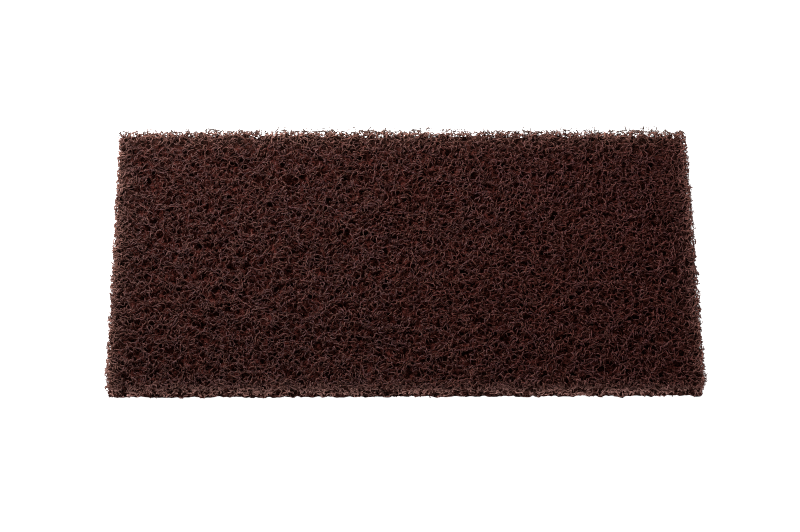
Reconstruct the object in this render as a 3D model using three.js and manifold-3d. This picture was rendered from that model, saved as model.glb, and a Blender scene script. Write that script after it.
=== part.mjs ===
// A non-woven abrasive pad: one die-cut slab of coarse, resin-bonded fibre web.
// Millimetres, +Z up. The origin is the middle of the face that the pad lies on,
// X runs along its length and Y across its width.
import * as THREE from "three";
import { mergeVertices } from "three/addons/utils/BufferGeometryUtils.js";
import Module from "manifold-3d";

// Overall size of the cut pad
const PAD_LENGTH = 250;
const PAD_WIDTH = 125;
const PAD_THICKNESS = 10;

// Loose fibres round the corners and the upper edges of the cut web
const EDGE_RADIUS = 2;

// The web's surface: fibre tufts this far apart, shifted at random from an even grid by up to
// TUFT_WANDER, with pores up to PORE_DEPTH deep between them
const TUFT_PITCH = 3.7;
const TUFT_WANDER = 1.1;
const PORE_DEPTH = 2;

// The cut sides fall back by up to this much between fibre ends
const CUT_RAGGEDNESS = 0.9;

// Colour and finish of the brown resin on the fibres
const WEB_COLOUR = 0x4a2d28;
const WEB_ROUGHNESS = 0.95;

// The web is random, but the same in every build
const WEB_SEED = 20;

const wasm = await Module();
wasm.setup();
THREE.MathUtils.seededRandom(WEB_SEED);

// A random number from 0 to 1, the next in the seeded row
function nextRandom() {
  return THREE.MathUtils.seededRandom();
}

// A random number from -reach to reach
function wander(reach) {
  return reach * (2 * nextRandom() - 1);
}

// A closed geometry without normals or texture places, its shared corners merged
function closedGeometry(geometry) {
  geometry.deleteAttribute("normal");
  geometry.deleteAttribute("uv");
  return mergeVertices(geometry);
}

// A closed geometry as a solid that can be cut
function solidFrom(geometry) {
  const closed = closedGeometry(geometry);
  return new wasm.Manifold(
    new wasm.Mesh({
      numProp: 3,
      vertProperties: closed.attributes.position.array,
      triVerts: new Uint32Array(closed.index.array),
    }),
  );
}

// A solid as a geometry with flat faces
function geometryFrom(solid) {
  const mesh = solid.getMesh();
  const geometry = new THREE.BufferGeometry();
  geometry.setAttribute("position", new THREE.BufferAttribute(mesh.vertProperties, 3));
  geometry.setIndex(new THREE.BufferAttribute(mesh.triVerts, 1));
  const faceted = geometry.toNonIndexed();
  faceted.computeVertexNormals();
  return faceted;
}

// A block cut out of the web roll, with one grid square for each tuft. It reaches a tuft below
// the pad's underside, where it is trimmed level afterwards.
function tuftedBlock() {
  const blockHeight = PAD_THICKNESS + TUFT_PITCH;
  const block = new THREE.BoxGeometry(
    PAD_LENGTH,
    PAD_WIDTH,
    blockHeight,
    Math.round(PAD_LENGTH / TUFT_PITCH),
    Math.round(PAD_WIDTH / TUFT_PITCH),
    Math.round(blockHeight / TUFT_PITCH),
  );
  block.translate(0, 0, PAD_THICKNESS - blockHeight / 2);
  return closedGeometry(block);
}

// The nearest point of the block that lies an edge radius inside its sides and its top
function insideEdges(point) {
  const x = PAD_LENGTH / 2 - EDGE_RADIUS;
  const y = PAD_WIDTH / 2 - EDGE_RADIUS;
  const top = PAD_THICKNESS - EDGE_RADIUS;
  return new THREE.Vector3(
    THREE.MathUtils.clamp(point.x, -x, x),
    THREE.MathUtils.clamp(point.y, -y, y),
    Math.min(point.z, top),
  );
}

// Moves a point of the square-edged block onto the same block with rounded edges
function roundedEdge(point) {
  const centre = insideEdges(point);
  const outward = point.clone().sub(centre);
  const reach = Math.max(Math.abs(outward.x), Math.abs(outward.y), Math.abs(outward.z));
  return outward.setLength(reach).add(centre);
}

// How far in a point of the block's skin lies from each of its sides, and from its top
function depths(point) {
  return {
    end: PAD_LENGTH / 2 - Math.abs(point.x),
    side: PAD_WIDTH / 2 - Math.abs(point.y),
    top: PAD_THICKNESS - point.z,
  };
}

// Roughens one point of the block: pores sink into its top, its cut sides fall back at random,
// and the tufts leave their even grid
function roughened(point) {
  const from = depths(point);
  const onTop = from.top < TUFT_PITCH / 2;
  const onEnd = from.end < TUFT_PITCH / 2;
  const onSide = from.side < TUFT_PITCH / 2;
  const rough = roundedEdge(point);
  if (onTop) {
    rough.z -= PORE_DEPTH * nextRandom() ** 2;
  } else {
    rough.z += wander(TUFT_WANDER);
  }
  if (onEnd) {
    rough.x -= Math.sign(point.x) * CUT_RAGGEDNESS * nextRandom();
  } else {
    rough.x += wander(TUFT_WANDER);
  }
  if (onSide) {
    rough.y -= Math.sign(point.y) * CUT_RAGGEDNESS * nextRandom();
  } else {
    rough.y += wander(TUFT_WANDER);
  }
  return rough;
}

// The whole pad: the tufted block, roughened and trimmed level at its underside
function abrasivePad() {
  const block = tuftedBlock();
  const place = block.attributes.position;
  const point = new THREE.Vector3();
  for (let i = 0; i < place.count; i++) {
    const rough = roughened(point.fromBufferAttribute(place, i));
    place.setXYZ(i, rough.x, rough.y, rough.z);
  }
  const trim = new THREE.BoxGeometry(2 * PAD_LENGTH, 2 * PAD_WIDTH, PAD_THICKNESS);
  trim.translate(0, 0, -PAD_THICKNESS / 2);
  const geometry = geometryFrom(solidFrom(block).subtract(solidFrom(trim)));
  const web = new THREE.MeshStandardMaterial({
    color: WEB_COLOUR,
    roughness: WEB_ROUGHNESS,
    metalness: 0,
  });
  const pad = new THREE.Mesh(geometry, web);
  pad.name = "abrasive_pad";
  return pad;
}

const part = new THREE.Group();
part.name = "non_woven_abrasive_pad";
part.add(abrasivePad());

export default part;
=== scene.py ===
"""A non-woven abrasive pad: a slab cut from an open web of crimped, resin-coated fibres.

The web is laid fibre by fibre as centre lines, cut to the pad's outline and given its
three-sided section. An inner web closes the middle of the slab, where the fibres lie too deep
to be seen.
"""

import math

import bmesh
import bpy
import numpy as np
from bpy.props import FloatProperty, FloatVectorProperty, PointerProperty
from mathutils import Matrix, Vector, noise


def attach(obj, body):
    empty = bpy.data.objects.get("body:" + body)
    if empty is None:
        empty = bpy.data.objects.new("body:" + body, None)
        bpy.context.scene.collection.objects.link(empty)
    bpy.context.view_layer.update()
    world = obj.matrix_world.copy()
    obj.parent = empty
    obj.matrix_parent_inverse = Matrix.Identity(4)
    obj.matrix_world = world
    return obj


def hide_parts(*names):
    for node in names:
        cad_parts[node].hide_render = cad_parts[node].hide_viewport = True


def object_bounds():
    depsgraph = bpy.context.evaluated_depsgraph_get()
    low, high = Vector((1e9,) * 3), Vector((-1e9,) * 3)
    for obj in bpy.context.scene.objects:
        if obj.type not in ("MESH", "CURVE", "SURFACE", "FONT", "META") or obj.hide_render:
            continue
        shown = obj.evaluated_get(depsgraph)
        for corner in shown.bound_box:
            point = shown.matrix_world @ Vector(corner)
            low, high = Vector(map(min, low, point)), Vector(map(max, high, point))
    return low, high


bl_info = {
    "name": "Abrasive Pad",
    "version": (1, 0, 0),
    "blender": (4, 5, 0),
    "location": "3D View > Sidebar > Abrasive Pad",
    "description": "Lays the fibre web of a non-woven abrasive pad and sets up its studio",
    "category": "Object",
}

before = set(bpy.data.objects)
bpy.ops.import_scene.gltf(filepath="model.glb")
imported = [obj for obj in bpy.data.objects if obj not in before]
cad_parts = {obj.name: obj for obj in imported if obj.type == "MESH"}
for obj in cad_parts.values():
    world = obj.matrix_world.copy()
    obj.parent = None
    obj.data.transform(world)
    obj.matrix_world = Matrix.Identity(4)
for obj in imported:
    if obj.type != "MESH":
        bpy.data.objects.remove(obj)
CAD_LOW, CAD_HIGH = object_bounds()
CAD_SIZE = CAD_HIGH - CAD_LOW
CAD_MIDDLE = (CAD_LOW + CAD_HIGH) / 2

NODE = "abrasive_pad"
BODY = "root"

MM = 0.001
WHITE = (1.0, 1.0, 1.0, 1.0)
PLAN_MIDDLE = np.array(CAD_MIDDLE[:2])

# The web is laid this far past the pad's outline before it is cut, and has pores this far past it
WEB_MARGIN = 6 * MM
PORE_MARGIN = 18 * MM

# Lays of the top and of the cut sides
TOP_LAYS = 4
SIDE_LAYS = 2

# How closely the sides, the upper edges and the underside are laid, as shares of the usual density
SIDE_DENSITY = 0.4
EDGE_DENSITY = 1.4
UNDERSIDE_DENSITY = 1 / 6

# Seeds of the lays; those of the top and the sides are counted on from here
TOP_SEED = 0
SIDE_SEED = 10
UNDERSIDE_SEED = 21
EDGE_SEED = 31

# Seeds of the clumps, the pores and the cuts, which are the same for all lays
CLUMP_SEED = 31
PORE_SEED = 32
CUT_SEED = 33

# Seed of the inner web's lumps
LUMP_SEED = 34

# The clumps are a sum of so many waves, from this to this many times as long as their usual spacing
CLUMP_WAVES = 24
CLUMP_SPREAD = (0.7, 1.6)

# Fibres are pushed out of a pore over this many of its radii, from no nearer than this to its middle
PORE_PUSH = 1.2
LEAST_DISTANCE = 0.001 * MM

# The cuts wander in waves of these lengths
CUT_WAVE_LENGTHS = (3 * MM, 4.3 * MM, 6.5 * MM, 11 * MM, 19 * MM, 37 * MM)

# How much turns, leads and girths differ from fibre to fibre, and the girth from point to point
TURN_SPREAD = (0.7, 1.5)
LEAD_SPREAD = (0.55, 1.3)
FIBRE_SPREAD = (0.7, 1.3)
POINT_SPREAD = (0.65, 1.45)

# How far a coil and a heading wander from one point of a fibre to the next, in radians
COIL_WANDER = 0.25
HEADING_WANDER = 0.12

# Loops that stand over the top are pressed down over a turn's length divided by this
PRESS_PARTS = 6

# Radius of a fibre's section, and the least height of its centre line, in usual diameters
GIRTH_SHARE = 0.58
LEAST_HEIGHT = 1.1

# Raggedness of the cut at the foot as a share of that at the top, and how far single fibres stray
FOOT_LOOSENESS = 0.1
STRAY_FREEDOM = 4
STRAY_LIMIT = 3

# Axes of the planes that the pores of the top, the long sides and the short ends lie in
TOP_PLANE = [0, 1]
SIDE_PLANE = [0, 2]
END_PLANE = [1, 2]

# The pale dust of the cut, which also paints the light on the cut sides, is thickest at this share of the
# thickness and fades over this share of it; its fading towards the foot paints the shade where the pad
# meets the floor
DUST_AND_LIGHT_HEIGHT = 0.41
DUST_AND_LIGHT_SPREAD = 0.36

# How much of that dust and painted light lies on the left and the right end, and on the near and the far
# side
END_DUST_AND_LIGHT = (0.2, 0.45)
SIDE_DUST_AND_LIGHT = (1.0, 0.15)

# How strongly light is painted on the thin web along the near, the far and the two short upper edges
NEAR_EDGE_LIGHT = 0.035
FAR_EDGE_LIGHT = 0.61
END_EDGE_LIGHT = (0.3, 0.24)

# The shares of the thickness at which that painted light begins and at which it is full; the painted shade
# of the far fringe uses them too
EDGE_LIGHT_FOOT = 0.6
EDGE_LIGHT_FULL = 0.92

# Fibres are this much looser along the two long edges, and this much stouter along all upper edges
# and in the cut sides
LONG_EDGE_LOOSENESS = 3.4
EDGE_STOUTNESS = 1.4
SIDE_STOUTNESS = 1.45

# Share of its loose fibres that the near edge keeps; the other three upper edges keep all of theirs
NEAR_EDGE_SHARE = 0.26

# The inner web's sides spread to its foot over this share of their height
FOOT_SHARE = 0.4

# Side of the inner web's square faces, and the least height of its skin
INNER_FACE = 1.0 * MM
INNER_FOOT = 0.1 * MM

# The inner web follows the waves of the cuts by this power of the share of the way out to them
CUT_POWER = 20

# Sizes of the wide and the fine lumps of the inner web, and how far they move its skin
WIDE_LUMP = 2.5 * MM
WIDE_SHIFT = 0.6 * MM
FINE_LUMP = 0.9 * MM
FINE_SHIFT = 0.4 * MM

# How strong those lumps are at the foot, and how much stronger at the top and along the upper rim
FOOT_LUMPS = 0.5
TOP_LUMPS = 0.5
RIM_LUMPS = 3.5

# Sides of a fibre's section, and how much longer than high its cell in the bake map is
SECTION_SIDES = 3
BAKE_SHAPE = 4

# Margins of a cell along and round its fibre, the room for the fibre's ends and the width of an end
CELL_MARGINS = (0.05, 0.1)
END_ROOM = 0.08
END_WIDTH = 0.04

# Spots and strands of the coats, in so many to the metre
BLOTCHES = 900.0
MOTTLE = 1300.0
GRAINS = 2600.0
TINGES = 800.0
DUST_AND_LIGHT_DRIFTS = 330.0
HUE_DRIFTS = 45.0
SWIRLS = 500.0
STRANDS = 540.0
FINE_STRANDS = 850.0
PATCHES = 420.0
DEEP_MOTTLE = 1100.0

# How far the swirls bend the strands of the inner web
SWIRL_REACH = 2 * MM

# Shares of the colours of the fibres' coat, where each is strongest
GRIT_SHARE = 0.5
RUSSET_SHARE = 0.5
MAUVE_SHARE = 0.6
UMBER_SHARE = 0.5
DRAB_SHARE = 0.26
PLUM_SHARE = 0.3
# Share of the painted shade on the tips of the far fringe
FRINGE_SHADE_SHARE = 0.95

# Shares of the strands, the finer strands, the russet, the dust and painted light of the cut, and the
# painted light of the upper edges on the inner web
STRAND_SHARE = 0.95
FINE_STRAND_SHARE = 0.6
DEEP_RUSSET = 0.25
DEEP_DUST_AND_LIGHT = 0.15
DEEP_EDGE_LIGHT = 0.3

# How fast the painted shade on the coat deepens, and the painted highlight of the topmost fibres fades,
# with each millimetre of depth
SHADE_PER_MM = 0.45

# So many lengths of the pad go into a metre
LENGTHS_PER_METRE = 4.0

# Half the side of the floor, and the width of the picture's pixel filter
FLOOR_REACH = 3.0
FILTER_WIDTH = 1.2


def a_length(name, description, default):
    """A length that a user can change."""
    return FloatProperty(name=name, description=description, default=default, unit="LENGTH")


def an_angle(name, description, default):
    """An angle that a user can change."""
    return FloatProperty(name=name, description=description, default=default, subtype="ANGLE")


def a_colour(name, description, default):
    """A colour that a user can change."""
    return FloatVectorProperty(name=name, description=description, default=default, subtype="COLOR")


class PadSizes(bpy.types.PropertyGroup):
    """Sizes of the cut pad and of the inner web that closes its middle."""

    length: a_length("Length", "Long side of the cut pad", CAD_SIZE.x)
    width: a_length("Width", "Short side of the cut pad", CAD_SIZE.y)
    thickness: a_length("Thickness", "Height of the pad over its underside", CAD_SIZE.z)
    corner: a_length("Corner radius", "Round of the four upright corners", 2.0 * MM)
    edge: a_length("Edge radius", "Round of the upper edges", 1.0 * MM)
    cut_wave: a_length("Cut wave", "How far the four cuts usually wander from a straight line", 0.2 * MM)
    reach: a_length(
        "Reach", "How far past the outline a usual fibre is cut at the foot of the long sides", 0.35 * MM
    )
    long_reach: a_length(
        "Reach of the long edges", "How far past the two long upper edges a usual fibre is cut", -0.42 * MM
    )
    end_reach: a_length(
        "Reach of the ends", "How far past the two short ends a usual fibre is cut", 0.18 * MM
    )
    ragged: a_length(
        "Raggedness", "How far single fibres are cut shorter or longer than usual", 0.3 * MM
    )
    top_depth: a_length(
        "Depth under the top", "Depth of open fibres between the top and the inner web", 1.4 * MM
    )
    side_depth: a_length(
        "Depth at the sides",
        "Depth of open fibres between the cut sides and the upper rim of the inner web",
        1.7 * MM,
    )
    rim_drop: a_length("Rim drop", "How much lower the inner web lies along its rim", 1.7 * MM)
    rim_width: a_length(
        "Rim width", "Distance from the outline over which the inner web rises to its full height", 2.5 * MM
    )
    foot_spread: a_length(
        "Foot spread", "How far the foot of the inner web spreads past the outline", 0.15 * MM
    )
    # The dust and painted light of the cut fade over this depth from the cut sides
    dust_and_light_depth: a_length(
        "Dust depth", "Depth from the cut sides over which the pale dust of the cut fades", 1.2 * MM
    )
    # The painted light along the upper edges fades over this depth
    edge_light_depth: a_length(
        "Hem depth", "Depth from the outline over which the paler hem of the top fades", 3.3 * MM
    )
    # Where the painted shade on the tips of the far fringe begins, and over what distance it grows
    fringe_depth: a_length(
        "Fringe depth",
        "Depth inside the far edge at which the tips of the fibres begin to turn dull",
        1.4 * MM,
    )
    fringe_fade: a_length(
        "Fringe fade", "Distance over which the tips of the fibres turn dull", 0.45 * MM
    )
    under_depth: a_length(
        "Depth over the underside", "Depth of open fibres between the underside and the inner web", 0.5 * MM
    )


class FibreSizes(bpy.types.PropertyGroup):
    """Sizes of one fibre and how closely the fibres are laid."""

    diameter: a_length("Diameter", "Thickness of a fibre with its coat of resin", 0.26 * MM)
    length: a_length("Length", "Length of a fibre before the pad is cut", 16 * MM)
    turn: a_length("Turn length", "Length of fibre in one turn of its coiled crimp", 4.2 * MM)
    lead: an_angle(
        "Lead", "Usual angle between a fibre and the line that its coil follows", math.radians(58)
    )
    density: FloatProperty(
        name="Density", description="Millimetres of fibre in a cubic millimetre of web", default=2.1
    )
    step: a_length("Step", "Distance between the points along a fibre", 0.75 * MM)


class WebOpenness(bpy.types.PropertyGroup):
    """How unevenly the fibres lie in the web."""

    clump: a_length("Clump spacing", "Usual distance from one clump of fibres to the next", 7 * MM)
    gather: a_length("Gather", "How far fibres are drawn into the clumps", 0.45 * MM)
    pore_pitch: a_length("Pore pitch", "Usual distance from one pore of the web to the next", 1.8 * MM)
    pore_radius: a_length("Pore radius", "Radius of the widest pores", 0.82 * MM)
    pore_depth: a_length("Pore depth", "How deep the widest pores sink into the inner web", 2.0 * MM)


class WebColours(bpy.types.PropertyGroup):
    """Colours of the web."""

    resin: a_colour("Resin", "Usual colour of the resin on the fibres", (0.074, 0.0196, 0.0159))
    dark_resin: a_colour("Dark resin", "Colour of the darkest fibres", (0.038, 0.0075, 0.0055))
    russet: a_colour("Russet", "Colour of the reddest fibres", (0.085, 0.0135, 0.0088))
    mauve: a_colour(
        "Mauve", "Colour of the fibres with the most grey in their coat", (0.073, 0.028, 0.033)
    )
    umber: a_colour("Umber", "Colour of the fibres with the yellowest coat", (0.075, 0.0325, 0.0192))
    drab: a_colour("Drab", "Colour that the fibres tend to towards the left end", (0.07, 0.032, 0.0285))
    plum: a_colour(
        "Plum", "Colour that the fibres tend to towards the right end", (0.083, 0.016, 0.0165)
    )
    # Painted highlight: the paler, greyer colour given to the topmost fibres, as if lit from above
    painted_highlight: a_colour("Crest", "Colour of the topmost fibres", (0.095, 0.0535, 0.0495))
    grit: a_colour("Grit", "Colour of the grit in the resin", (0.101, 0.0665, 0.0625))
    # Pale dust of the cut sides, which also paints the light on them
    cut: a_colour("Cut sides", "Colour of the dusty fibre ends at the cut sides", (0.71, 0.372, 0.315))
    # Painted light: the colour that the thin web tends to along its upper edges
    hem: a_colour(
        "Hem", "Colour that the thin web tends to along its upper edges", (0.575, 0.297, 0.224)
    )
    # Painted shade: the darker, greyer colour of the loose fibre tips along the far edge
    tip: a_colour("Tips", "Colour of the bare tips of the fringe", (0.055, 0.043, 0.038))
    # Near-black painted shade: the pores of the inner web, and the colour that the fibres darken to with
    # depth
    depth: a_colour("Deep web", "Colour of the pores of the inner web", (0.003, 0.0006, 0.0004))


class StudioSettings(bpy.types.PropertyGroup):
    """Camera, floor and light."""

    focal_length: FloatProperty(
        name="Focal length",
        description="Lens of the camera, in millimetres on a 36 mm wide sensor",
        default=100.8,
    )
    distance: a_length("Distance", "Camera's distance from the point that it looks at", 0.9622)
    elevation: an_angle("Elevation", "Camera's angle above the floor", math.radians(62.1))
    turn: an_angle("Turn", "Camera's turn round the pad, from straight in front", math.radians(-2.35))
    roll: an_angle("Roll", "Camera's turn about its own line of sight", math.radians(1.98))
    aim: FloatVectorProperty(
        name="Aim",
        description="Point that the camera looks at",
        default=(-2.1 * MM, -4.0 * MM, 7.0 * MM),
        subtype="TRANSLATION",
    )
    floor: a_colour("Floor", "Colour of the floor", (0.85, 0.85, 0.85))
    floor_glow: FloatProperty(
        name="Floor glow",
        description="Light that the floor gives by itself, as a lit table does",
        default=1.02,
    )
    sky: FloatProperty(
        name="Sky", description="Strength of the even light from all round", default=0.365
    )
    key: FloatProperty(
        name="Key light", description="Power of the large soft lamp", default=7.7, unit="POWER"
    )
    key_size: a_length("Key size", "Side of the large soft lamp", 0.4)
    key_place: FloatVectorProperty(
        name="Key place",
        description="Where the large soft lamp stands; it faces the pad",
        default=(-0.21, 0.32, 0.18),
        subtype="TRANSLATION",
    )


class Shade:
    """A socket of a node tree, on which arithmetic adds Math nodes."""

    def __init__(self, tree, socket=None):
        self.tree = tree
        self.socket = socket

    def node(self, kind, settings=None, sockets=None, output=0):
        """Adds a node with these settings and sockets, and gives one of its outputs."""
        made = self.tree.nodes.new(kind)
        for name, value in (settings or {}).items():
            if name == "stops":
                self.set_stops(made.color_ramp.elements, value)
            else:
                setattr(made, name, value)
        for name, value in (sockets or {}).items():
            if isinstance(value, Shade):
                self.tree.links.new(value.socket, made.inputs[name])
            else:
                made.inputs[name].default_value = value
        return Shade(self.tree, made.outputs[output] if made.outputs else None)

    @staticmethod
    def set_stops(elements, stops):
        """Gives a ramp these stops of place and grey level."""
        while len(elements) < len(stops):
            elements.new(1.0)
        for element, (place, level) in zip(elements, stops):
            element.position = place
            element.color = (level, level, level, 1.0)

    def maths(self, operation, first, second):
        """A Math node on two values."""
        return self.node("ShaderNodeMath", {"operation": operation}, {0: first, 1: second})

    def __add__(self, other):
        return self.maths("ADD", self, other)

    def __radd__(self, other):
        return self.maths("ADD", other, self)

    def __sub__(self, other):
        return self.maths("SUBTRACT", self, other)

    def __rsub__(self, other):
        return self.maths("SUBTRACT", other, self)

    def __mul__(self, other):
        return self.maths("MULTIPLY", self, other)

    def __rmul__(self, other):
        return self.maths("MULTIPLY", other, self)

    def mixed(self, first, second):
        """The first colour where this value is 0, and the second where it is 1."""
        return self.node(
            "ShaderNodeMix",
            {"data_type": "RGBA"},
            {0: self, 6: opaque(first), 7: opaque(second)},
            output=2,
        )

    def ramped(self, *stops):
        """This value led along a ramp of places and grey levels."""
        return self.node("ShaderNodeValToRGB", {"stops": stops}, {"Fac": self})

    def attribute(self, name):
        """The value of one of the mesh's attributes."""
        return self.node("ShaderNodeAttribute", {"attribute_name": name}, output=2)

    def surface(self, sockets):
        """Ends a material with a Principled surface of these sockets."""
        coat = self.node("ShaderNodeBsdfPrincipled", None, sockets)
        self.node("ShaderNodeOutputMaterial", None, {"Surface": coat})

    def spots(self, place, scale, detail=0.0, output=0):
        """Soft random spots, so many to the metre; output 1 has colours."""
        sockets = {"Vector": place, "Scale": scale, "Detail": detail}
        return self.node("ShaderNodeTexNoise", None, sockets, output)


def new_material(name):
    """An empty node material, and a Shade to add its nodes with."""
    material = bpy.data.materials.new(name)
    material.use_nodes = True
    material.node_tree.nodes.clear()
    return material, Shade(material.node_tree)


def opaque(colour):
    """A plain colour with full alpha; a Shade stays as it is."""
    return colour if isinstance(colour, Shade) else (*colour, 1.0)


def fibre_coat(name, colours):
    """Brown resin on the fibres, a little different on each one, with grit in it and dust on it, and
    painted light and shade: highlights on the topmost fibres, shade that deepens with depth, light along
    the upper edges and shade on the far fringe.
    """
    material, shade = new_material(name)
    place = shade.node("ShaderNodeTexCoord", output=3)
    tint = shade.attribute("tint")
    depth = shade.attribute("depth") * SHADE_PER_MM
    worn = shade.spots(place, BLOTCHES, 1.0).ramped((0.40, 0.0), (0.60, 1.0))
    grit = shade.spots(place, GRAINS).ramped((0.58, 0.0), (0.70, 1.0))
    # Painted highlight on the topmost fibres, fading over the first millimetre or so of depth
    highlight_share = depth.ramped((0.0, 1.0), (0.6, 0.0))
    # Painted shade: fibres darken towards the deep colour the deeper they lie under the top or the cut
    # sides
    shadow = depth.ramped((0.3, 0.0), (1.0, 0.75))
    brown = (tint * 0.6 + worn * 0.4).mixed(colours.dark_resin, colours.resin)
    gritty = (grit * GRIT_SHARE).mixed(brown, colours.grit)
    painted_highlight = (highlight_share * (worn * 0.75 + 0.1)).mixed(gritty, colours.painted_highlight)
    tinged = tinged_coat(shade, place, painted_highlight, colours)
    dusted_and_lit = dusted_and_lit_coat(shade, place, tinged, tint, worn, colours)
    colour = shadow.mixed(dusted_and_lit, colours.depth)
    shade.surface({"Base Color": colour, "Roughness": 0.6 - grit * 0.2, "Specular IOR Level": 0.05})
    return material


def tinged_coat(shade, place, coat, colours):
    """A coat with reddish, greyish and yellowish spots, which drifts from drab to plum along the pad."""
    mottle = shade.spots(place, MOTTLE)
    warmth = mottle * 0.45 + shade.attribute("hue") * 0.3 + hue_drift(shade, place) * 0.25
    reddish = warmth.ramped((0.46, 0.0), (0.62, 1.0))
    greyish = warmth.ramped((0.38, 1.0), (0.54, 0.0))
    yellowish = shade.spots(place, TINGES).ramped((0.48, 0.0), (0.62, 1.0))
    along = shade.node("ShaderNodeSeparateXYZ", None, {"Vector": place}) * LENGTHS_PER_METRE + 0.5
    leftmost = along.ramped((0.0, DRAB_SHARE), (0.5, 0.0))
    rightmost = along.ramped((0.4, 0.0), (1.0, PLUM_SHARE))
    russet = (reddish * RUSSET_SHARE).mixed(coat, colours.russet)
    mauve = (greyish * MAUVE_SHARE).mixed(russet, colours.mauve)
    umber = (yellowish * UMBER_SHARE).mixed(mauve, colours.umber)
    drab = leftmost.mixed(umber, colours.drab)
    return rightmost.mixed(drab, colours.plum)


def dusted_and_lit_coat(shade, place, coat, tint, worn, colours):
    """A coat with the pale dust of the cut, which also paints light on the cut sides, the painted light
    along the upper edges and the painted shade on the tips of the far fringe.
    """
    rim = shade.attribute("rim")
    drifted = shade.spots(place, DUST_AND_LIGHT_DRIFTS, 1.0).ramped((0.36, 0.65), (0.6, 1.0))
    dusty_and_lit = (rim * drifted * (worn * 0.16 + tint * 0.16 + 0.73)).mixed(coat, colours.cut)
    # Painted light along the upper edges
    edge_lit = (shade.attribute("hem") * (worn * 0.45 + 0.48)).mixed(dusty_and_lit, colours.hem)
    # Painted shade on the tips of the far fringe, except where the cut's dust lies
    return (shade.attribute("tip") * (1 - rim) * FRINGE_SHADE_SHARE).mixed(edge_lit, colours.tip)


def deep_web(name, colours):
    """The inner web: dim fibres that cross over pores painted near-black as shade, the deeper pores darker;
    paler at the cut sides with dust and painted light, and along the upper edges with painted light.
    """
    material, shade = new_material(name)
    place = shade.node("ShaderNodeTexCoord", output=3)
    swirls = shade.spots(place, SWIRLS, 1.0, output=1)
    bent = shade.node(
        "ShaderNodeVectorMath",
        {"operation": "MULTIPLY_ADD"},
        {0: swirls, 1: (SWIRL_REACH, SWIRL_REACH, SWIRL_REACH), 2: place},
    )
    strands = crossing_strands(shade, bent, STRANDS)
    finer = crossing_strands(shade, place, FINE_STRANDS)
    crossing = shade.maths("MAXIMUM", strands, finer * FINE_STRAND_SHARE)
    patches = shade.spots(place, PATCHES, 1.0).ramped((0.38, 0.08), (0.56, 1.0))
    reddish = shade.spots(place, DEEP_MOTTLE).ramped((0.42, 0.0), (0.6, 1.0))
    # Painted shade: the deeper a pore sinks, the more of it takes the near-black deep colour
    unshaded_share = 1 - shade.attribute("sunk")
    strand = (reddish * DEEP_RUSSET).mixed(colours.resin, colours.russet)
    dim = (crossing * patches * STRAND_SHARE * unshaded_share).mixed(colours.depth, strand)
    # Dust and painted light of the cut sides on the inner web's strands
    dusty_and_lit = (shade.attribute("rim") * crossing * DEEP_DUST_AND_LIGHT * unshaded_share).mixed(dim, colours.cut)
    # Painted light along the upper edges lifts the inner web's colour
    colour = (shade.attribute("hem") * DEEP_EDGE_LIGHT).mixed(dusty_and_lit, colours.hem)
    relief = shade.node("ShaderNodeBump", None, {"Strength": 0.6, "Distance": 0.0004, "Height": crossing})
    shade.surface(
        {"Base Color": colour, "Roughness": 0.9, "Specular IOR Level": 0.0, "Normal": relief}
    )
    return material


def hue_drift(shade, place):
    """A wide, slow change of hue over the web, which is a little redder towards its right end."""
    along = shade.node("ShaderNodeSeparateXYZ", None, {"Vector": place})
    return shade.spots(place, HUE_DRIFTS, 2.0) + along * 0.5


def crossing_strands(shade, place, scale):
    """Thin lines of strands round pores, at so many pores to the metre."""
    cells = shade.node(
        "ShaderNodeTexVoronoi",
        {"feature": "DISTANCE_TO_EDGE"},
        {"Vector": place, "Scale": scale},
    )
    return cells.ramped((0.045, 1.0), (0.125, 0.0))


def floor_paint(name, studio):
    """The pale, softly lit floor."""
    material, shade = new_material(name)
    shade.surface(
        {
            "Base Color": opaque(studio.floor),
            "Roughness": 0.9,
            "Specular IOR Level": 0.1,
            "Emission Color": WHITE,
            "Emission Strength": studio.floor_glow,
        }
    )
    return material


def material_named(name, make, settings):
    """The material of that name, made when it is first asked for."""
    return bpy.data.materials.get(name) or make(name, settings)


def add_piece(name, mesh, material):
    """Puts a finished mesh into the scene as a piece that stands for the pad."""
    piece = bpy.data.objects.new(name, mesh)
    bpy.context.scene.collection.objects.link(piece)
    piece.data.materials.clear()
    piece.data.materials.append(material)
    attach(piece, BODY)
    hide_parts(NODE)
    return piece


def cut_waves(places, pad):
    """How far the cuts across x and across y lie in from straight lines beside each point."""
    rng = np.random.default_rng(CUT_SEED)
    waves = np.zeros(places.shape[:-1] + (2,))
    for axis in (0, 1):
        is_high = places[..., axis] > CAD_MIDDLE[axis]
        for length in CUT_WAVE_LENGTHS:
            phase = np.where(is_high, rng.random(), rng.random())
            waves[..., axis] += np.sin(math.tau * (places[..., 1 - axis] / length + phase))
    return waves * pad.cut_wave / math.sqrt(len(CUT_WAVE_LENGTHS) / 2)


def plan_size(pad):
    """The pad's length and width."""
    return np.array([pad.length, pad.width])


def beyond_outline(places, pad):
    """How far each point lies outside the pad's rounded outline; less than 0 inside it."""
    half = plan_size(pad) / 2 - pad.corner
    over = np.abs(places[..., :2] - PLAN_MIDDLE) - half + cut_waves(places, pad)
    outside = np.linalg.norm(np.maximum(over, 0), axis=-1)
    inside = np.minimum(over.max(axis=-1), 0)
    return outside + inside - pad.corner


def crown(beyond, pad):
    """Height of the pad's top at each distance from its outline: level, and rounded along the edges."""
    short = (1 + beyond / pad.edge).clip(0, 1)
    return pad.thickness - pad.edge * (1 - np.sqrt(1 - short**2))


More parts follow.
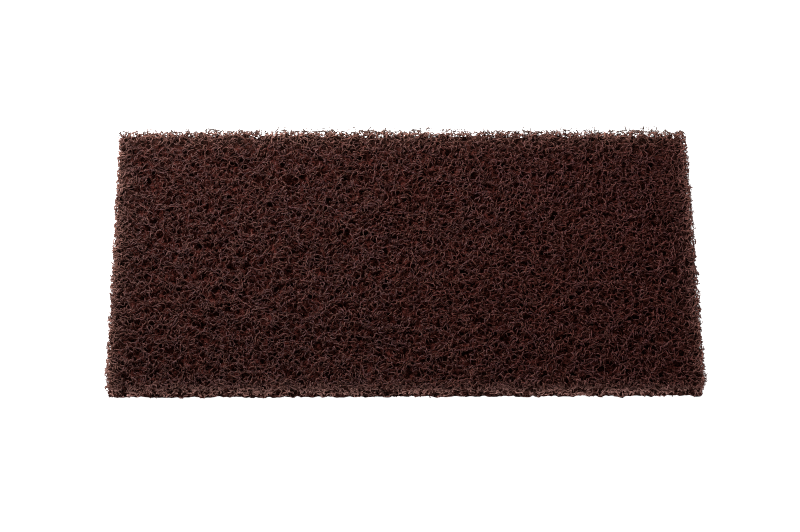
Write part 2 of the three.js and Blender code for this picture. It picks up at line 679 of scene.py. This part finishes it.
def dust_and_painted_light(places, pad):
    """How much of the pale dust of the cut, which also stands for painted light, lies on each point: most
    below the middle of the near side, and less towards the foot, which paints shade there.
    """
    height = (places[..., 2] / pad.thickness).clip(0, 1)
    share = np.exp(-(((height - DUST_AND_LIGHT_HEIGHT) / DUST_AND_LIGHT_SPREAD) ** 2))
    beyond = beyond_outline(places, pad).clip(max=0)
    on_end = np.where(places[..., 0] < CAD_MIDDLE.x, *END_DUST_AND_LIGHT)
    on_side = np.where(places[..., 1] < CAD_MIDDLE.y, *SIDE_DUST_AND_LIGHT)
    return np.where(is_at_end(places, pad), on_end, on_side) * share * np.exp(beyond / pad.dust_and_light_depth)


def uppermost(places, pad):
    """1 for points near the top, falling to 0 for those in the lower part of the thickness."""
    height = places[..., 2] / pad.thickness
    return ((height - EDGE_LIGHT_FOOT) / (EDGE_LIGHT_FULL - EDGE_LIGHT_FOOT)).clip(0, 1)


def hem(places, pad):
    """How much light is painted on the thin web at each point: most along the far edge and the two short
    ones.
    """
    near = NEAR_EDGE_LIGHT * np.exp(-(places[..., 1] - CAD_LOW.y).clip(0) / pad.edge_light_depth)
    far = FAR_EDGE_LIGHT * np.exp(-(CAD_HIGH.y - places[..., 1]).clip(0) / pad.edge_light_depth)
    from_end = pad.length / 2 - np.abs(places[..., 0] - CAD_MIDDLE.x)
    end = np.where(places[..., 0] < CAD_MIDDLE.x, *END_EDGE_LIGHT) * np.exp(-from_end.clip(0) / pad.edge_light_depth)
    return np.maximum(np.maximum(near, far), end) * uppermost(places, pad)


def painted_fringe_shade(places, pad):
    """How much painted shade lies on the loose fibre tips along the far edge at each point."""
    past = (beyond_outline(places, pad) + pad.fringe_depth).clip(0)
    is_far = places[..., 1] > CAD_HIGH.y - pad.rim_width
    return is_far * uppermost(places, pad) * (1 - np.exp(-past / pad.fringe_fade))


def wandering(rng, count, points, usual):
    """A smooth random course for each fibre, which wanders by about this much from point to point."""
    course = np.cumsum(rng.normal(0, 1, (count, points)), axis=1)
    return (course - course[:, :1]) * usual


def laid_fibres(rng, middles, fibre):
    """Centre lines of coiled fibres round these middles, as an array of fibres by points by x, y, z."""
    count = len(middles)
    points = round(fibre.length / fibre.step)
    travel = np.arange(points) * fibre.step
    turn = fibre.turn * rng.uniform(*TURN_SPREAD, (count, 1)) * rng.choice((-1, 1), (count, 1))
    start = rng.random((count, 1))
    round_coil = math.tau * (travel / turn + start) + wandering(rng, count, points, COIL_WANDER)
    heading = rng.uniform(0, math.tau, (count, 1)) + wandering(rng, count, points, HEADING_WANDER)
    lead = fibre.lead * rng.uniform(*LEAD_SPREAD, (count, 1))
    along = np.cos(lead)
    aside = np.sin(lead) * np.cos(round_coil)
    climb = np.sin(lead) * np.sin(round_coil)
    ways = np.stack(
        [
            np.cos(heading) * along - np.sin(heading) * aside,
            np.sin(heading) * along + np.cos(heading) * aside,
            climb,
        ],
        axis=-1,
    )
    lines = np.cumsum(ways, axis=1) * fibre.step
    return lines + middles[:, None, :] - lines.mean(axis=1, keepdims=True)


def pressed(heights, top, give):
    """Presses the loops that would stand over the top down to it, over this much give."""
    over = (heights - (top - give)).clip(0)
    return np.minimum(heights, top - give) + give * np.tanh(over / give)


def cut_at_outline(lines, beyond, reach):
    """Moves the first point of each fibre past its cut back to the cut, and says which points are kept."""
    inside = beyond < reach
    for side in (1, -1):
        past = ~inside & np.roll(inside, side, axis=1)
        past[:, 0 if side == 1 else -1] = False
        within = np.roll(lines, side, axis=1)[past]
        depth = np.roll(beyond, side, axis=1)[past]
        limit = np.broadcast_to(reach, beyond.shape)[past]
        share = (limit - depth) / (beyond[past] - depth)
        lines[past] = within + (lines[past] - within) * share[:, None]
        inside |= past
    return inside


def kept_runs(keep):
    """Start and end, in the flat list of points, of each unbroken run of kept points along a fibre."""
    edge = np.zeros((len(keep), 1), bool)
    change = np.diff(np.concatenate([edge, keep, edge], axis=1).astype(np.int8), axis=1)
    row, start = np.nonzero(change == 1)
    end = np.nonzero(change == -1)[1]
    points = keep.shape[1]
    return row * points + start, row * points + end


def clump_shift(places, openness):
    """Sideways shift of each point that draws the fibres into clumps, as a sum of plane waves."""
    rng = np.random.default_rng(CLUMP_SEED)
    shift = np.zeros_like(places)
    for _ in range(CLUMP_WAVES):
        angle = rng.uniform(0, math.tau)
        way = np.array([math.cos(angle), math.sin(angle)])
        length = openness.clump * rng.uniform(*CLUMP_SPREAD)
        wave = np.cos(math.tau * (places @ way / length + rng.random()))
        shift += wave[..., None] * way
    return shift * openness.gather / math.sqrt(CLUMP_WAVES / 2)


def pores_near(places, openness):
    """Way and distance to each point from the nine pores round it, one in a cell, and their radii."""
    rng = np.random.default_rng(PORE_SEED)
    reach = np.array(CAD_SIZE[:2]) / 2 + PORE_MARGIN
    cells = np.ceil(reach * 2 / openness.pore_pitch).astype(int)
    corner = np.stack(np.meshgrid(*map(np.arange, cells), indexing="ij"), axis=-1)
    middles = (corner + rng.random(corner.shape)) * openness.pore_pitch - reach
    radii = openness.pore_radius * rng.random(cells)
    home = np.floor((places + reach) / openness.pore_pitch).astype(int)
    for beside in np.ndindex(3, 3):
        cell = np.clip(home + np.array(beside) - 1, 0, cells - 1)
        away = places - middles[cell[..., 0], cell[..., 1]]
        distance = np.linalg.norm(away, axis=-1).clip(LEAST_DISTANCE)
        yield away, distance, radii[cell[..., 0], cell[..., 1]]


def pore_shift(places, openness):
    """Sideways shift of each point that opens the pores."""
    shift = np.zeros_like(places)
    for away, distance, radius in pores_near(places, openness):
        push = radius * np.exp(-((distance / (PORE_PUSH * radius)) ** 2))
        shift += away * (push / distance)[..., None]
    return shift


def opened(lines, plane, openness):
    """Shifts fibres within a plane, into clumps and out of the pores."""
    lines = lines.copy()
    lines[..., plane] += clump_shift(lines[..., plane], openness)
    lines[..., plane] += pore_shift(lines[..., plane], openness)
    return lines


def is_at_end(places, pad):
    """Which points are nearer to one of the pad's two short ends than to its long sides."""
    over = np.abs(places[..., :2] - PLAN_MIDDLE) - plan_size(pad) / 2
    return over[..., 0] > over[..., 1]


def pore_depth(places, openness):
    """How deep the pores are sunk at each point."""
    depths = [
        openness.pore_depth * (radius / openness.pore_radius) ** 0.5 * np.exp(-((distance / radius) ** 2))
        for _, distance, radius in pores_near(places, openness)
    ]
    return np.max(depths, axis=0)


def side_inset(rise, pad):
    """How far the inner web's sides lie in from the outline at this share of their height."""
    upright = np.minimum(rise / FOOT_SHARE, 1)
    return pad.side_depth * upright - pad.foot_spread * (1 - upright)


def inner_skin(inside, heights, pad):
    """The inner web's skin: its inset from the outline at these heights, its height at these insets."""
    rise = (heights - pad.under_depth) / (pad.thickness - pad.top_depth - pad.under_depth)
    inset = side_inset(rise.clip(0, 1), pad)
    top = crown(-inside, pad) - pad.top_depth - pad.rim_drop * np.exp(-inside.clip(0) / pad.rim_width)
    return inset, top


def is_shown(lines, beyond, pad, fibre):
    """Which points lie outside the inner web, or just under its skin."""
    heights = lines[..., 2]
    inset, top = inner_skin(-beyond, heights, pad)
    deep = np.minimum(np.minimum(-beyond - inset, top - heights), heights - pad.under_depth)
    above_foot = heights > -pad.under_depth
    return above_foot & (deep < fibre.diameter)


def cut_reach(rng, lines, pad):
    """How far past the outline each fibre is cut, which varies most along the two long upper edges."""
    middle = lines.mean(axis=1, keepdims=True)
    height = middle[..., 2] / pad.thickness
    inset = plan_size(pad) / 2 - np.abs(middle[..., :2] - PLAN_MIDDLE)
    at_long_edge = (inset[..., 1] < pad.rim_width) & (inset[..., 0] > 2 * pad.rim_width)
    loose = pad.ragged * (FOOT_LOOSENESS + (1 - FOOT_LOOSENESS) * height)
    loose = loose * np.where(at_long_edge, LONG_EDGE_LOOSENESS, 1)
    on_side = pad.reach + (pad.long_reach - pad.reach) * height
    usual = np.where(is_at_end(middle, pad), pad.end_reach, on_side)
    stray = rng.standard_t(STRAY_FREEDOM, (len(lines), 1))
    return usual + loose * stray.clip(-STRAY_LIMIT, STRAY_LIMIT)


def cut_fibres(rng, lines, pad, fibre, fewest=3):
    """Cuts centre lines to the pad and keeps what shows. Gives the points and each run's length."""
    beyond = beyond_outline(lines, pad)
    kept = cut_at_outline(lines, beyond, cut_reach(rng, lines, pad))
    start, end = kept_runs(kept & is_shown(lines, beyond, pad, fibre))
    long_enough = end - start >= fewest
    start, end = start[long_enough], end[long_enough]
    size = end - start
    first = np.repeat(start - np.concatenate([[0], np.cumsum(size)[:-1]]), size)
    return lines.reshape(-1, 3)[first + np.arange(size.sum())], size


def tube_nodes():
    """Geometry nodes that give every line a three-sided section of its own girth, with closed ends."""
    name = "fibre_section"
    if name in bpy.data.node_groups:
        return bpy.data.node_groups[name]
    tree = bpy.data.node_groups.new(name, "GeometryNodeTree")
    tree.interface.new_socket("Lines", in_out="INPUT", socket_type="NodeSocketGeometry")
    tree.interface.new_socket("Fibres", in_out="OUTPUT", socket_type="NodeSocketGeometry")
    shade = Shade(tree)
    lines = shade.node("NodeGroupInput")
    curve = shade.node("GeometryNodeMeshToCurve", None, {"Mesh": lines})
    girth = shade.node("GeometryNodeInputNamedAttribute", {"data_type": "FLOAT"}, {"Name": "girth"})
    ring = shade.node(
        "GeometryNodeCurvePrimitiveCircle",
        None,
        {"Resolution": SECTION_SIDES, "Radius": 1.0},
    )
    tube = shade.node(
        "GeometryNodeCurveToMesh",
        None,
        {"Curve": curve, "Profile Curve": ring, "Scale": girth, "Fill Caps": True},
    )
    smooth = shade.node("GeometryNodeSetShadeSmooth", None, {"Geometry": tube})
    shade.node("NodeGroupOutput", None, {"Fibres": smooth})
    return tree


def set_attributes(mesh, values):
    """Gives the points of a mesh the values of these attributes."""
    for name, value in values.items():
        mesh.attributes.new(name, "FLOAT", "POINT").data.foreach_set("value", value)


def fibre_mesh(name, rng, points, size, pad, fibre, stoutness):
    """A mesh of closed fibres along these runs of points."""
    lines = bpy.data.meshes.new(name)
    lines.vertices.add(len(points))
    last = np.cumsum(size) - 1
    starts = np.delete(np.arange(len(points)), last)
    lines.edges.add(len(starts))
    lines.edges.foreach_set("vertices", np.stack([starts, starts + 1], axis=1).ravel())
    points[:, 2] = points[:, 2].clip(LEAST_HEIGHT * stoutness * fibre.diameter)
    per_fibre = rng.uniform(*FIBRE_SPREAD, len(size))
    per_point = rng.uniform(*POINT_SPREAD, len(points))
    girth = stoutness * fibre.diameter * GIRTH_SHARE * np.repeat(per_fibre, size) * per_point
    tint = np.repeat(rng.random(len(size)), size)
    hue = np.repeat(rng.random(len(size)), size)
    beyond = beyond_outline(points, pad)
    depth = np.minimum(-beyond, crown(beyond, pad) - points[:, 2]).clip(0)
    lines.vertices.foreach_set("co", points.ravel())
    values = {
        "girth": girth,
        "tint": tint,
        "hue": hue,
        "depth": depth / MM,
        # Dust and painted light of the cut sides
        "rim": dust_and_painted_light(points, pad),
        # Painted light along the upper edges
        "hem": hem(points, pad),
        # Painted shade on the tips of the far fringe
        "tip": painted_fringe_shade(points, pad),
    }
    set_attributes(lines, values)
    maker = bpy.data.objects.new(name + "_lines", lines)
    bpy.context.scene.collection.objects.link(maker)
    maker.modifiers.new("Section", "NODES").node_group = tube_nodes()
    depsgraph = bpy.context.evaluated_depsgraph_get()
    mesh = bpy.data.meshes.new_from_object(maker.evaluated_get(depsgraph))
    mesh.name = name
    bpy.data.objects.remove(maker)
    bpy.data.meshes.remove(lines)
    bake_cells(mesh, size)
    return mesh


def bake_cells(mesh, size):
    """Gives each fibre a cell of its own in the bake map, along it one way and round it the other."""
    columns = math.ceil(math.sqrt(len(size) / BAKE_SHAPE))
    rows = math.ceil(len(size) / columns)
    corner = np.empty(len(mesh.loops), np.int32)
    mesh.loops.foreach_get("vertex_index", corner)
    corners = np.empty(len(mesh.polygons), np.int32)
    mesh.polygons.foreach_get("loop_total", corners)
    point, side = corner // SECTION_SIDES, corner % SECTION_SIDES
    fibre = np.repeat(np.arange(len(size)), size)
    first = np.cumsum(size) - size
    along = (np.arange(len(fibre)) - first[fibre]) / (size - 1)[fibre]
    last_side = np.maximum.reduceat(side, np.cumsum(corners) - corners)
    wraps = np.repeat(last_side, corners) == SECTION_SIDES - 1
    around = np.where(wraps & (side == 0), SECTION_SIDES, side) / SECTION_SIDES
    is_end = np.repeat(corners, corners) == SECTION_SIDES
    at_start = along[point] < 0.5
    end_along = np.where(at_start, 0.0, 1.0)
    end_along += (side == 1) * np.where(at_start, END_WIDTH, -END_WIDTH)
    inside = np.where(is_end, end_along, END_ROOM + (1 - 2 * END_ROOM) * along[point])
    cell = fibre[point]
    places = np.stack(
        [
            (cell % columns + CELL_MARGINS[0] + (1 - 2 * CELL_MARGINS[0]) * inside) / columns,
            (cell // columns + CELL_MARGINS[1] + (1 - 2 * CELL_MARGINS[1]) * around) / rows,
        ],
        axis=1,
    )
    mesh.uv_layers.new(name="OFBake").data.foreach_set("uv", places.astype(np.float32).ravel())


def spread_middles(rng, count, pad, low, high):
    """Random places over the pad's plan and round it, between two heights."""
    size = plan_size(pad) + 2 * WEB_MARGIN
    pitch = math.sqrt(size[0] * size[1] / count)
    rows = np.ceil(size / pitch).astype(int)
    grid = np.stack(np.meshgrid(np.arange(rows[0]), np.arange(rows[1])), axis=-1).reshape(-1, 2)
    flat = (grid + rng.random(grid.shape)) / rows * size - size / 2 + PLAN_MIDDLE
    return np.column_stack([flat, rng.uniform(low, high, len(flat))])


def fibres_in(pad, fibre, height, share):
    """How many fibres this share of a layer of the uncut web holds."""
    volume = (pad.length + 2 * WEB_MARGIN) * (pad.width + 2 * WEB_MARGIN) * height
    return int(round(volume / MM**2 * fibre.density / fibre.length) * share)


def add_fibres(name, seed, count, heights, context, band=None, stoutness=1.0, near_share=1.0):
    """Lays fibres between two heights and makes a piece of what shows of them.

    They lie over the whole plan, or in a band of this width along its outline.
    """
    scene = context.scene
    pad = scene.pad_sizes
    rng = np.random.default_rng(seed)
    middles = spread_middles(rng, count, pad, *heights)
    if band:
        middles = middles[beyond_outline(middles, pad) > -band]
    if near_share < 1:
        is_near = middles[:, 1] < CAD_LOW.y + band
        middles = middles[~is_near | (rng.random(len(middles)) < near_share)]
    lines = laid_fibres(rng, middles, scene.fibre_sizes)
    if band:
        at_end = is_at_end(middles, pad)
        lines[at_end] = opened(lines[at_end], END_PLANE, scene.web_openness)
        lines[~at_end] = opened(lines[~at_end], SIDE_PLANE, scene.web_openness)
    else:
        lines = opened(lines, TOP_PLANE, scene.web_openness)
    top = crown(beyond_outline(lines, pad), pad)
    lines[..., 2] = pressed(lines[..., 2], top, scene.fibre_sizes.turn / PRESS_PARTS)
    points, size = cut_fibres(rng, lines, pad, scene.fibre_sizes)
    mesh = fibre_mesh(name, rng, points, size, pad, scene.fibre_sizes, stoutness)
    coat = material_named("fibre_coat", fibre_coat, scene.web_colours)
    return add_piece(name, mesh, coat)


def rounded_corner(plan, half, radius):
    """Moves a point of a square-cornered plan onto the same plan with round corners."""
    core = Vector([max(-c, min(p, c)) for p, c in zip(plan, (half.x - radius, half.y - radius))])
    outward = plan - core
    reach = max(abs(outward.x), abs(outward.y))
    return core + outward.normalized() * reach


class PAD_OT_inner_web(bpy.types.Operator):
    """Closes the middle of the slab with a rough body that shows between the fibres, its pores painted
    near-black as shade
    """

    bl_idname = "pad.inner_web"
    bl_label = "Inner web"

    def execute(self, context):
        pad = context.scene.pad_sizes
        openness = context.scene.web_openness
        body = self.block(pad)
        self.roughen(body, pad, openness)
        mesh = bpy.data.meshes.new("inner_web")
        body.to_mesh(mesh)
        body.free()
        places = np.array([vertex.co for vertex in mesh.vertices])
        # How deep each pore sinks, which the inner web's coat turns into painted shade
        sunk = pore_depth(self.flattened(places, pad), openness) / openness.pore_depth
        # Dust and painted light of the cut sides, and painted light along the upper edges
        set_attributes(mesh, {"rim": dust_and_painted_light(places, pad), "hem": hem(places, pad), "sunk": sunk})
        mesh.shade_smooth()
        coat = material_named("deep_web", deep_web, context.scene.web_colours)
        piece = add_piece("inner_web", mesh, coat)
        return {"FINISHED"}

    @staticmethod
    def flattened(places, pad):
        """The points in the plane of the face that each is on: the top, a long side or a short end."""
        inside = -beyond_outline(places, pad)
        inset, _ = inner_skin(inside, places[:, 2], pad)
        on_side = inside < inset + INNER_FACE / 2
        side = np.where(is_at_end(places, pad)[:, None], places[:, END_PLANE], places[:, SIDE_PLANE])
        return np.where(on_side[:, None], side, places[:, TOP_PLANE])

    @staticmethod
    def block(pad):
        """A block of small square faces over one level face, wider at its foot than at its upper rim."""
        low, high = pad.under_depth, pad.thickness - pad.top_depth
        body = bmesh.new()
        across = [round(size / INNER_FACE) for size in (pad.length, pad.width)]
        bmesh.ops.create_grid(body, x_segments=across[0], y_segments=across[1], size=0.5)
        bmesh.ops.translate(body, vec=(0.0, 0.0, 1.0), verts=body.verts)
        rim = [edge for edge in body.edges if edge.is_boundary]
        rows = round((high - low) / INNER_FACE)
        for _ in range(rows):
            grown = bmesh.ops.extrude_edge_only(body, edges=rim)["geom"]
            rim = [part for part in grown if isinstance(part, bmesh.types.BMEdge)]
            lower = [part for part in grown if isinstance(part, bmesh.types.BMVert)]
            bmesh.ops.translate(body, vec=(0.0, 0.0, -1.0 / rows), verts=lower)
        bmesh.ops.contextual_create(body, geom=rim)
        bmesh.ops.recalc_face_normals(body, faces=body.faces)
        for vertex in body.verts:
            inset = side_inset(vertex.co.z, pad)
            half = Vector((pad.length / 2 - inset, pad.width / 2 - inset))
            plan = rounded_corner(Vector(vertex.co[:2]) * 2 * half, half, pad.corner)
            vertex.co = (*plan, vertex.co.z * (high - low))
        bmesh.ops.translate(body, vec=(CAD_MIDDLE.x, CAD_MIDDLE.y, low), verts=body.verts)
        return body

    @staticmethod
    def roughen(body, pad, openness):
        """Sinks the pores and the rim of the body's top and gives all of it the loose surface of a web."""
        places = np.array([vertex.co for vertex in body.verts])
        inward = cut_waves(places, pad) * -np.sign(places[:, :2] - PLAN_MIDDLE)
        share_out = np.abs(places[:, :2] - PLAN_MIDDLE) / plan_size(pad) * 2
        places[:, :2] += inward * share_out**CUT_POWER
        for vertex, place in zip(body.verts, places):
            vertex.co = place
        beyond = beyond_outline(places, pad)
        at_rim = np.exp(beyond.clip(max=0) / pad.rim_width)
        drop = pad.rim_drop * at_rim + pad.thickness - crown(beyond, pad)
        drop += pore_depth(places[:, :2], openness)
        share = (places[:, 2] / (pad.thickness - pad.top_depth)).clip(0, 1)
        loose = FOOT_LUMPS + TOP_LUMPS * share + RIM_LUMPS * at_rim * share
        noise.seed_set(LUMP_SEED)
        for vertex, fall, looseness in zip(body.verts, drop * share, loose):
            vertex.co.z -= fall
            wide = noise.noise_vector(vertex.co / WIDE_LUMP) * WIDE_SHIFT * looseness
            fine = noise.noise_vector(vertex.co / FINE_LUMP) * FINE_SHIFT * looseness
            vertex.co += wide + fine
            vertex.co.z = max(vertex.co.z, INNER_FOOT)


class PAD_OT_top_fibres(bpy.types.Operator):
    """Lays the fibres of the top in lays that cross over each other"""

    bl_idname = "pad.top_fibres"
    bl_label = "Top fibres"

    def execute(self, context):
        pad = context.scene.pad_sizes
        fibre = context.scene.fibre_sizes
        heights = pad.thickness - pad.top_depth, pad.thickness - fibre.diameter
        count = fibres_in(pad, fibre, pad.top_depth, 1 / TOP_LAYS)
        for lay in range(1, TOP_LAYS + 1):
            add_fibres(f"top_fibres_{lay}", TOP_SEED + lay, count, heights, context)
        return {"FINISHED"}


class PAD_OT_side_fibres(bpy.types.Operator):
    """Lays the fibres that end in the four cut sides"""

    bl_idname = "pad.side_fibres"
    bl_label = "Side fibres"

    def execute(self, context):
        pad = context.scene.pad_sizes
        fibre = context.scene.fibre_sizes
        heights = 0, pad.thickness - pad.top_depth
        count = fibres_in(pad, fibre, heights[1] - heights[0], SIDE_DENSITY / SIDE_LAYS)
        for lay in range(1, SIDE_LAYS + 1):
            name = f"side_fibres_{lay}"
            add_fibres(name, SIDE_SEED + lay, count, heights, context, fibre.turn, SIDE_STOUTNESS)
        return {"FINISHED"}


class PAD_OT_edge_fibres(bpy.types.Operator):
    """Lays the loose fibres along the upper edges"""

    bl_idname = "pad.edge_fibres"
    bl_label = "Edge fibres"

    def execute(self, context):
        pad = context.scene.pad_sizes
        fibre = context.scene.fibre_sizes
        heights = pad.thickness - pad.rim_width, pad.thickness - fibre.diameter
        count = fibres_in(pad, fibre, pad.rim_width, EDGE_DENSITY)
        add_fibres(
            "edge_fibres",
            EDGE_SEED,
            count,
            heights,
            context,
            band=pad.rim_width,
            stoutness=EDGE_STOUTNESS,
            near_share=NEAR_EDGE_SHARE,
        )
        return {"FINISHED"}


class PAD_OT_underside_fibres(bpy.types.Operator):
    """Lays the flattened fibres of the underside"""

    bl_idname = "pad.underside_fibres"
    bl_label = "Underside fibres"

    def execute(self, context):
        pad = context.scene.pad_sizes
        fibre = context.scene.fibre_sizes
        heights = fibre.diameter, pad.under_depth
        count = fibres_in(pad, fibre, pad.under_depth, UNDERSIDE_DENSITY)
        add_fibres("underside_fibres", UNDERSIDE_SEED, count, heights, context)
        return {"FINISHED"}


class PAD_OT_studio(bpy.types.Operator):
    """Sets up the floor, the light and the camera"""

    bl_idname = "pad.studio"
    bl_label = "Studio"

    def execute(self, context):
        scene = context.scene
        studio = scene.studio_settings
        self.add_floor(scene, studio)
        self.add_light(scene, studio)
        self.add_camera(scene, studio)
        scene.view_settings.view_transform = "Standard"
        scene.cycles.filter_width = FILTER_WIDTH
        scene.cycles.use_denoising = False
        return {"FINISHED"}

    @staticmethod
    def add_floor(scene, studio):
        """The level floor that the pad lies on."""
        plane = bmesh.new()
        bmesh.ops.create_grid(plane, x_segments=1, y_segments=1, size=FLOOR_REACH)
        mesh = bpy.data.meshes.new("floor")
        plane.to_mesh(mesh)
        plane.free()
        floor = bpy.data.objects.new("floor", mesh)
        scene.collection.objects.link(floor)
        mesh.materials.append(material_named("floor_paint", floor_paint, studio))

    @staticmethod
    def add_light(scene, studio):
        """Even light from all round and one large soft lamp."""
        world = bpy.data.worlds.new("soft_sky")
        world.use_nodes = True
        background = world.node_tree.nodes["Background"]
        background.inputs["Color"].default_value = WHITE
        background.inputs["Strength"].default_value = studio.sky
        scene.world = world
        lamp = bpy.data.lights.new("key_light", "AREA")
        lamp.energy = studio.key
        lamp.size = studio.key_size
        key = bpy.data.objects.new("key_light", lamp)
        scene.collection.objects.link(key)
        key.location = studio.key_place
        key.rotation_mode = "QUATERNION"
        key.rotation_quaternion = (-key.location).to_track_quat("-Z", "Y")

    @staticmethod
    def add_camera(scene, studio):
        """The camera of the photograph, without depth of field."""
        rise, turn, roll = studio.elevation, studio.turn, studio.roll
        back = Vector((math.sin(turn) * math.cos(rise), -math.cos(turn) * math.cos(rise), math.sin(rise)))
        right = Vector((math.cos(turn), math.sin(turn), 0.0))
        up = back.cross(right)
        across = right * math.cos(roll) + up * math.sin(roll)
        upward = up * math.cos(roll) - right * math.sin(roll)
        data = bpy.data.cameras.new("camera")
        data.lens = studio.focal_length
        camera = bpy.data.objects.new("camera", data)
        scene.collection.objects.link(camera)
        turned = Matrix((across, upward, back)).transposed().to_4x4()
        camera.matrix_world = Matrix.Translation(Vector(studio.aim) + back * studio.distance) @ turned
        scene.camera = camera


class PAD_PT_panel(bpy.types.Panel):
    """Lists the pad's pieces and its studio"""

    bl_idname = "PAD_PT_panel"
    bl_label = "Abrasive Pad"
    bl_space_type = "VIEW_3D"
    bl_region_type = "UI"
    bl_category = "Abrasive Pad"

    def draw(self, context):
        for operator in OPERATORS:
            self.layout.operator(operator.bl_idname)
        for group in GROUPS:
            box = self.layout.box()
            settings = getattr(context.scene, group)
            for name in settings.bl_rna.properties.keys():
                if name not in {"rna_type", "name"}:
                    box.prop(settings, name)


GROUPS = {
    "pad_sizes": PadSizes,
    "fibre_sizes": FibreSizes,
    "web_openness": WebOpenness,
    "web_colours": WebColours,
    "studio_settings": StudioSettings,
}
OPERATORS = (
    PAD_OT_inner_web,
    PAD_OT_top_fibres,
    PAD_OT_side_fibres,
    PAD_OT_edge_fibres,
    PAD_OT_underside_fibres,
    PAD_OT_studio,
)
CLASSES = (*GROUPS.values(), *OPERATORS, PAD_PT_panel)


def register():
    for cls in CLASSES:
        bpy.utils.register_class(cls)
    for name, group in GROUPS.items():
        setattr(bpy.types.Scene, name, PointerProperty(type=group))


def unregister():
    for name in GROUPS:
        delattr(bpy.types.Scene, name)
    for cls in reversed(CLASSES):
        bpy.utils.unregister_class(cls)


def main():
    register()
    bpy.ops.pad.inner_web()
    bpy.ops.pad.top_fibres()
    bpy.ops.pad.side_fibres()
    bpy.ops.pad.edge_fibres()
    bpy.ops.pad.underside_fibres()
    bpy.ops.pad.studio()


if __name__ == "__main__":
    main()
